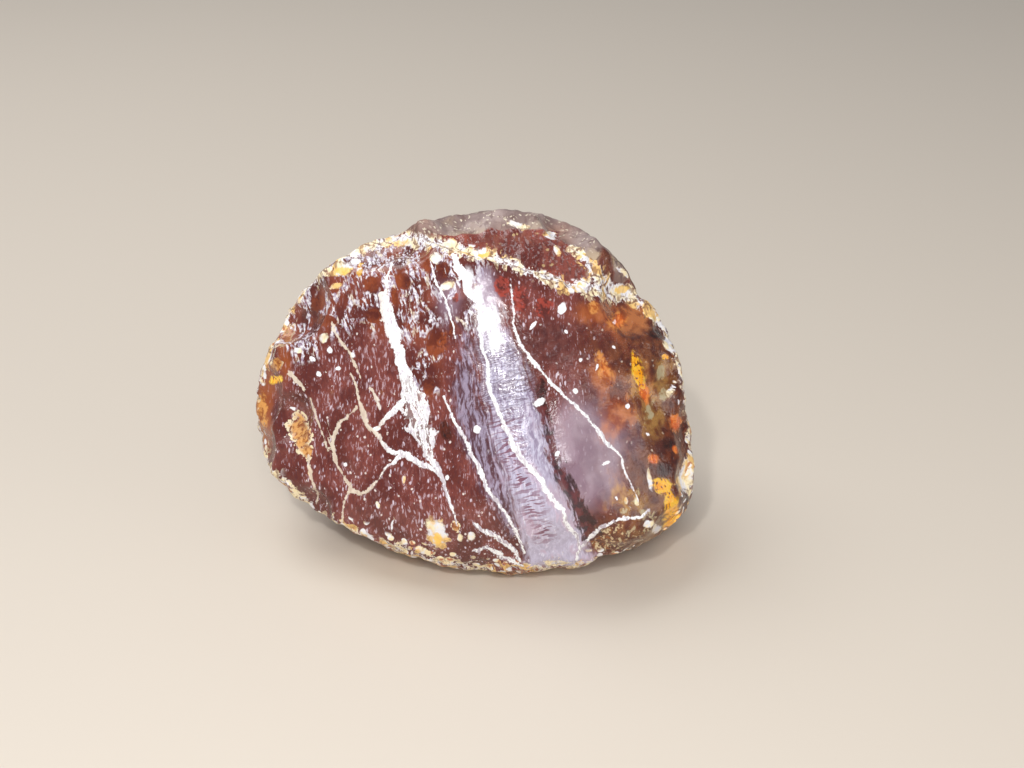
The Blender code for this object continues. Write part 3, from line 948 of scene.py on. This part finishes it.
def broken_face(finish):
    """The glossy broken face: specked red-brown, a pale rippled band of painted sheen, haze partly of
    painted sheen, painted shade, painted glow, a painted highlight, and stains.

    It gives its colour, then where it is opaque and misty with painted sheen, and the notches across the
    band.
    """
    coarse, medium, fine, streak = finish.read("coarse", "medium", "fine", "streak")
    dashes, flecks, along, right = finish.read("dashes", "flecks", "along", "right")
    band, dusk, valley, valley_half = finish.read("band", "dusk", "valley", "valley_half")
    haze, glow, gold, shade = finish.read("haze", "glow", "gold", "shade")
    grit, bruise, dots = finish.read("grit", "bruise", "dots")
    specks = pale_specks(finish)
    notches, below = band_notches(finish)
    silky = (along * 0.5 + dashes * 0.5).rise(0.44, 0.56)
    stripes = finish.blend(silky, tone(84, 58, 70), tone(160, 150, 174))
    blotchy = (coarse * 0.5 + medium * 0.5).rise(0.42, 0.58)
    embers = finish.blend(blotchy, tone(162, 74, 34), tone(246, 154, 92))
    shoulder_shading = dusk.ragged(streak, 3.0, medium, 1.4).rise(-0.5, 1.0)
    pale_sheen = band.ragged(along, 2.2, coarse, 1.2).rise(-0.4, 1.0)
    misty_sheen = haze.ragged(coarse, 0.6).rise(0.10, 0.80)
    warm = glow.ragged(coarse, 0.9, medium, 0.5).rise(0.1, 0.8)
    golden = gold.ragged(coarse, 0.8, medium, 0.8).rise(0.2, 0.8)
    gloomy = shade.ragged(coarse, 0.8).rise(0.2, 0.8)
    gritty = grit.ragged(medium, 0.7).rise(0.3, 0.6)
    valley_shade = (valley_half.ragged(streak, 2.4, coarse, 0.8, fine, 0.5) - abs(valley)).rise(-0.2, 0.3)
    colour = finish.layer(
        specked_ground(finish, specks),
        # Painted shade beside the band and in the hollow at the right
        (gloomy * 0.75, finish.blend(medium.rise(0.40, 0.60), tone(76, 34, 32), tone(104, 56, 50))),
        # Painted shade and sheen on the band's left shoulder
        (shoulder_shading * 0.8, stripes),
        # The band's painted sheen
        (pale_sheen * 0.92, band_sheen(finish, specks, notches, below)),
        # Haze, partly milky resin and partly painted sheen
        (misty_sheen * 0.8, finish.blend(coarse.rise(0.40, 0.62), tone(146, 122, 138), tone(170, 150, 164))),
        # Painted glow of light in the warm resin
        (warm * 0.8, finish.blend(right, tone(160, 82, 36), embers)),
        (golden * 0.65, finish.blend(medium.rise(0.36, 0.62), tone(168, 98, 36), tone(232, 176, 90))),
        (gritty * 0.8, finish.blend(medium.rise(0.42, 0.60), tone(110, 56, 34), tone(164, 106, 60))),
        (gritty * (flecks * 0.6 + fine * 0.4).rise(0.51, 0.58) * 0.9, tone(240, 220, 176)),
        # Painted shade in the valley beside the ridge
        (valley_shade * 0.92, finish.blend(medium.rise(0.40, 0.60), tone(46, 14, 14), tone(98, 38, 36))),
    )
    # A painted highlight, white, at the top of the ridge
    painted_flare = bruise.ragged(fine, 0.5, along, 0.8).rise(0.25, 0.85)
    # White dots, those on the right painted glints
    dot = dots.ragged(fine, 0.7).rise(0.0, 0.25)
    colour = finish.layer(
        face_stains(finish, colour), (painted_flare * 0.9, tone(250, 250, 255)), (dot, tone(250, 248, 250))
    )
    opaque = pale_sheen.over(shoulder_shading).over(misty_sheen * 0.6).over(painted_flare).over(dot)
    return colour, opaque, misty_sheen, notches


def painted_glint_glow(finish, face):
    """A painted glow of the yellow and orange glints, given off as emission, for the light that gets through
    them.
    """
    medium, fine, right = finish.read("medium", "fine", "right")
    yellow, orange = finish.read("yellow", "orange")
    golden = yellow.ragged(medium, 1.1).rise(0.0, 0.4) * fine.rise(0.34, 0.44) * (right * 0.8 + 0.2)
    amber = (orange * right).ragged(medium, 0.9).rise(0.05, 0.5) * right
    lit = finish.layer(UNLIT, (golden, tone(230, 150, 4)), (amber, tone(204, 88, 18)))
    return finish.blend(face, UNLIT, lit)


def weathered_skin(finish):
    """The dull grey-brown skin behind the rim, with glossy red windows where it has chipped.

    It gives its colour, then where the windows are, and where the skin is aged, which is all but the
    ledge with its painted sheen.
    """
    coarse, medium, fine, streak, broad = finish.read("coarse", "medium", "fine", "streak", "broad")
    riser, scarred, ledge, brink = finish.read("riser", "scarred", "ledge", "brink")
    # The ledge keeps plain grey, without windows or weathering: a painted sheen
    aged_outside_sheen = 1 - ledge
    pores = (0.15 - finish.cells(1.3, 1.3, 1.3)).rise(0.0, 0.06) * medium.rise(0.42, 0.52)
    window = ((scarred * 0.8).ragged(coarse, 3.4, broad, 3.0, medium, 0.9) - ledge * 3.0).rise(0.40, 0.62)
    window = window.over((riser - ledge * 3.0).ragged(medium, 1.2).rise(0.0, 0.4))
    crazing = (0.035 + (fine - 0.5) * 0.10 - finish.cells(2.6, 2.2, 2.4, WALLS)).rise(0.0, 0.03)
    earthy = finish.blend(coarse.rise(0.4, 0.6), tone(112, 66, 48), tone(158, 106, 74))
    grey = finish.layer(
        finish.blend(coarse.rise(0.38, 0.62), tone(126, 104, 100), tone(164, 144, 139)),
        (broad.rise(0.44, 0.60) * aged_outside_sheen * 0.8, earthy),
        ((0.62 - broad - medium * 0.3).rise(0.0, 0.08) * aged_outside_sheen * 0.7, tone(190, 166, 128)),
        (medium.rise(0.54, 0.66) * 0.6, tone(98, 68, 60)),
        (crazing * aged_outside_sheen * 0.7, tone(66, 42, 36)),
        (pores * aged_outside_sheen * 0.8, tone(52, 30, 26)),
        (fine.rise(0.57, 0.66) * medium.rise(0.44, 0.56) * (0.35 + ledge * 0.55), tone(238, 226, 200)),
    )
    flakes = (0.26 - finish.cells(1.0, 0.7, 1.0)).rise(0.0, 0.1) * medium.rise(0.47, 0.55)
    red = finish.layer(
        finish.blend(coarse.rise(0.35, 0.65), tone(124, 52, 44), tone(172, 92, 80)),
        (streak.rise(0.50, 0.58) * 0.5, tone(84, 38, 36)),
        (medium.rise(0.54, 0.66) * 0.4, tone(190, 122, 100)),
        ((fine * 0.5 + streak * 0.5).rise(0.53, 0.59) * 0.6, tone(204, 176, 176)),
        (flakes * 0.85, tone(240, 206, 150)),
    )
    amber_edge = finish.layer(
        finish.blend(coarse.rise(0.40, 0.60), tone(112, 54, 30), tone(186, 108, 52)),
        (medium.rise(0.52, 0.62) * 0.6, tone(226, 160, 84)),
        (fine.rise(0.54, 0.62) * 0.6, tone(236, 220, 190)),
    )
    skin = finish.layer(grey, (window, red), (brink * (1 - ledge) * 0.92, amber_edge))
    return skin, window, aged_outside_sheen


def crack_lines(finish):
    """Healed cracks with ragged edges, frayed to strands where they are wide."""
    medium, fine, streak, up = finish.read("medium", "fine", "streak", "up")
    crack = None
    for letter in "abcd":
        aside, half = finish.read("aside_" + letter, "half_" + letter)
        wide = (half * (medium * 2.2 - 0.15)).ragged(fine, 0.36, streak, half * 0.6 + 0.25)
        line = (wide - abs(aside)).rise(-0.04, 0.05)
        frayed = (half - 0.35).rise(0.0, 0.3) * (0.47 - streak).ragged(fine, 0.4).rise(0.0, 0.05)
        line = line * (1 - frayed * (up * -0.25 + 0.7).rise(0.0, 1.0) * 0.85)
        crack = line if crack is None else crack.over(line)
    return crack


def crack_resin(finish, faint):
    """White resin with grey streaks, tan where the cracks are faint."""
    fine, streak, up = finish.read("fine", "streak", "up")
    return finish.layer(
        finish.blend(fine.rise(0.28, 0.48), tone(210, 200, 212), tone(250, 250, 250)),
        (streak.rise(0.50, 0.58) * (up * -0.03 + 0.35), tone(166, 148, 162)),
        (faint * 0.65, tone(222, 198, 160)),
    )


def strand_network(finish, face):
    """Combed pale strands in a net over the brow, left out of the brown stains, and their resin."""
    medium, fine, streak = finish.read("medium", "fine", "streak")
    strands, brown = finish.read("strands", "brown")
    wall = finish.cells(2.4, 3.2, 2.4, WALLS).ragged(streak, 0.30, medium, 0.35)
    tangle = (0.17 - wall).rise(0.0, 0.06) * strands.rise(0.25, 0.55) * face * (1 - brown.rise(0.0, 0.2))
    white = finish.layer(
        finish.blend(fine.rise(0.38, 0.60), tone(164, 146, 168), tone(242, 240, 246)),
        (medium.rise(0.54, 0.64) * 0.6, tone(234, 212, 168)),
    )
    return tangle * (streak * 0.85 + fine * 0.15).rise(0.46, 0.53), white


def rim_crust(finish, face, outer, bottom):
    """Crust on the rim, in cream pieces and on the slope behind: where it lies, and its resin."""
    coarse, medium, fine, streak = finish.read("coarse", "medium", "fine", "streak")
    cream, yellow, slope_crust = finish.read("cream", "yellow", "slope_crust")
    out, rim, rim_half = finish.read("out", "rim", "rim_half")
    edging = (rim_half * 0.75 - abs(rim)).ragged(medium, 2.6, streak, 1.4, fine, 1.2).rise(-0.05, 0.12)
    piece = cream.ragged(medium, 1.1, fine, 0.7).rise(0.0, 0.25)
    strip = slope_crust.ragged(medium, 2.2, fine, 1.2).rise(0.0, 0.15)
    crust = (edging * outer).over(piece.over(strip) * out.rise(-6.5, -5.0))
    gaps = (0.07 + (fine - 0.5) * 0.3 - finish.cells(1.3, 1.1, 1.3, WALLS)).rise(0.0, 0.05)
    patchy = 1 - cream.rise(0.15, 0.45) * 0.8
    darker = (streak * 0.5 + medium * 0.5).rise(0.54, 0.60)
    # Fewer dark bits and gaps toward the bottom: painted light on the downturned rim, which faces away from
    # the lamps
    resin = finish.layer(
        finish.blend(medium.rise(0.42, 0.60), tone(236, 234, 238), tone(248, 232, 192)),
        (coarse.rise(0.52, 0.60) * medium.rise(0.40, 0.52) * 0.8, tone(238, 188, 96)),
        (darker * (1 - bottom * 0.5) * patchy * 0.7, tone(128, 74, 48)),
        (fine.rise(0.54, 0.66) * (1 - bottom * 0.6) * patchy * 0.6, tone(150, 100, 76)),
        (yellow.ragged(medium, 1.2, fine, 1.4).rise(-0.1, 0.2) * 0.8, tone(246, 198, 92)),
        ((1 - face) * (out * -0.4 - 0.4).rise(0.0, 1.0) * 0.5, tone(190, 148, 104)),
        (gaps * (1 - bottom * 0.5) * patchy * 0.75, tone(104, 56, 40)),
    )
    return crust, resin


def crust_beads(finish, outer, bottom, opaque):
    """Round beads beside the crust, more of them along the bottom, and their resin."""
    coarse, medium, rim = finish.read("coarse", "medium", "rim")
    beads = (0.40 - finish.cells(1.0, 0.95, 1.0)).rise(0.0, 0.08) * outer * (1 - opaque)
    beads = beads * (0.8 + bottom * 0.5 - abs(rim)).rise(0.0, 0.3) * (coarse + bottom * 0.14).rise(0.40, 0.54)
    resin = finish.layer(
        finish.blend(medium.rise(0.44, 0.56), tone(246, 244, 246), tone(248, 230, 186)),
        ((coarse * 0.4 + medium * 0.6).rise(0.56, 0.60) * 0.9, tone(180, 92, 48)),
    )
    return beads, resin


def make_amber():
    """Amber: a see-through dark red resin under a cloudy, cracked and crusted skin."""
    finish = Finish("amber")
    coarse, medium, fine = finish.read("coarse", "medium", "fine")
    across, up, front, right = finish.read("across", "up", "front", "right")
    strands, haze = finish.read("strands", "haze")
    face = front.rise(-0.15, 0.25)
    outer = front.ragged(coarse, 2.4).rise(-1.1, -0.7)
    bottom = (up * -0.12 - 0.6).rise(0.0, 1.0)
    faint = (across * -0.3 - 2.4).rise(0.0, 0.8)

    face_colour, opaque, misty_sheen, notches = broken_face(finish)
    skin, window, aged_outside_sheen = weathered_skin(finish)
    lit = painted_glint_glow(finish, face)
    crack = crack_lines(finish) * face
    network, strand_resin = strand_network(finish, face)
    crust, crust_resin = rim_crust(finish, face, outer, bottom)
    beads, bead_resin = crust_beads(finish, outer, bottom, opaque)
    pane = finish.blend(coarse.rise(0.40, 0.60), tone(84, 32, 26), tone(136, 64, 36))
    colour = finish.layer(
        skin, (face, face_colour),
        (strands.rise(0.2, 0.6) * (1 - opaque) * face * 0.6, pane), (network * 0.85, strand_resin),
        (crust, crust_resin), (beads, bead_resin), (crack * (1 - faint * 0.15), crack_resin(finish, faint)),
    )
    pale_all = crust.over(crack).over(network).over(beads)

    height = (fine * 0.4 + medium * 0.5) * (1 - haze * 0.7) - notches * 0.25
    bump = finish.node("ShaderNodeBump", None, {"Strength": 0.7, "Distance": BUMP_HEIGHT, "Height": height})
    rough = 0.18 + pale_all * 0.35 + (1 - face) * (0.34 - window * 0.26) + misty_sheen * face * 0.1
    cloudy = finish.node(
        "ShaderNodeBsdfPrincipled",
        None,
        {
            "Base Color": colour, "Roughness": rough, "IOR": AMBER_IOR, "Normal": bump.outputs[0],
            # The glints' painted glow, as emission
            "Emission Color": lit, "Emission Strength": GLINT_STRENGTH,
        },
    )
    clear = finish.node(
        "ShaderNodeBsdfPrincipled",
        None,
        {
            "Base Color": (1.0, 1.0, 1.0, 1.0), "Roughness": 0.06, "IOR": AMBER_IOR,
            "Transmission Weight": 1.0, "Normal": bump.outputs[0],
        },
    )
    lightness = (right * 0.5 * face).over((1 - face) * window * aged_outside_sheen * 0.5)
    seen_through = lightness * (1 - pale_all) * (1 - opaque)
    surface = finish.node(
        "ShaderNodeMixShader", None, {0: seen_through, 1: cloudy.outputs[0], 2: clear.outputs[0]}
    )
    inside = finish.node(
        "ShaderNodeVolumeAbsorption", None, {"Color": AMBER_LIGHT, "Density": AMBER_DENSITY}
    )
    ends = {"Surface": surface.outputs[0], "Volume": inside.outputs[0]}
    finish.node("ShaderNodeOutputMaterial", None, ends)
    return finish.material


def make_floor():
    """A plain, pale, level floor."""
    mesh = bpy.data.meshes.new("floor")
    mesh.from_pydata([(-2, -2, 0), (2, -2, 0), (2, 2, 0), (-2, 2, 0)], [], [(0, 1, 2, 3)])
    floor = bpy.data.objects.new("floor", mesh)
    bpy.context.scene.collection.objects.link(floor)
    finish = Finish("pale floor")
    paint = finish.node(
        "ShaderNodeBsdfPrincipled", None, {"Base Color": tone(210, 199, 185), "Roughness": 0.6}
    )
    finish.node("ShaderNodeOutputMaterial", None, {"Surface": paint.outputs[0]})
    mesh.materials.append(finish.material)
    return floor


def make_camera():
    """A camera at the eye, level across, looking square to the broken face."""
    data = bpy.data.cameras.new("camera")
    data.lens = 60
    data.sensor_width = 36
    data.clip_start = 0.01
    camera = bpy.data.objects.new("camera", data)
    bpy.context.scene.collection.objects.link(camera)
    place = (MIDDLE + np.array(EYE) @ FACE_AXES) * MM
    turn = Matrix(FACE_AXES.T.tolist()).to_4x4()
    camera.matrix_world = Matrix.Translation(Vector(place)) @ turn
    bpy.context.scene.camera = camera


def make_light(name, place, size, watts, colour=(1.0, 1.0, 1.0)):
    """A square soft light, (across, up, out) of the broken face in millimetres, aimed at the stone."""
    data = bpy.data.lights.new(name, "AREA")
    data.size = size * MM
    data.energy = watts
    data.color = colour
    light = bpy.data.objects.new(name, data)
    bpy.context.scene.collection.objects.link(light)
    here = Vector((MIDDLE + np.array(place) @ FACE_AXES) * MM)
    light.location = here
    light.rotation_euler = (Vector(MIDDLE * MM) - here).to_track_quat("-Z", "Y").to_euler()


def light_scene():
    """A pale surround, a large soft light above on the left, one in front, one at the right, and a
    small bright one for the spark on the ridge."""
    world = bpy.data.worlds.new("surround")
    bpy.context.scene.world = world
    world.use_nodes = True
    backdrop = world.node_tree.nodes["Background"]
    backdrop.inputs["Color"].default_value = (0.92, 0.95, 1.0, 1.0)
    backdrop.inputs["Strength"].default_value = 0.33
    make_light("ceiling", (-150, 310, 50), 260, 0.74)
    make_light("front", (-8, 48, 260), 90, 0.30)
    make_light("side", (262, -20, 120), 170, 0.18, (1.0, 0.97, 0.95))
    make_light("spark", (-34, 66, 219), 12, 0.16)


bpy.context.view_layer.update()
stone = make_stone()
stone.data.materials.append(make_amber())
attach(stone, "root")
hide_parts("amber_lump")
make_floor()
make_camera()
light_scene()
bpy.context.scene.view_settings.view_transform = "Standard"
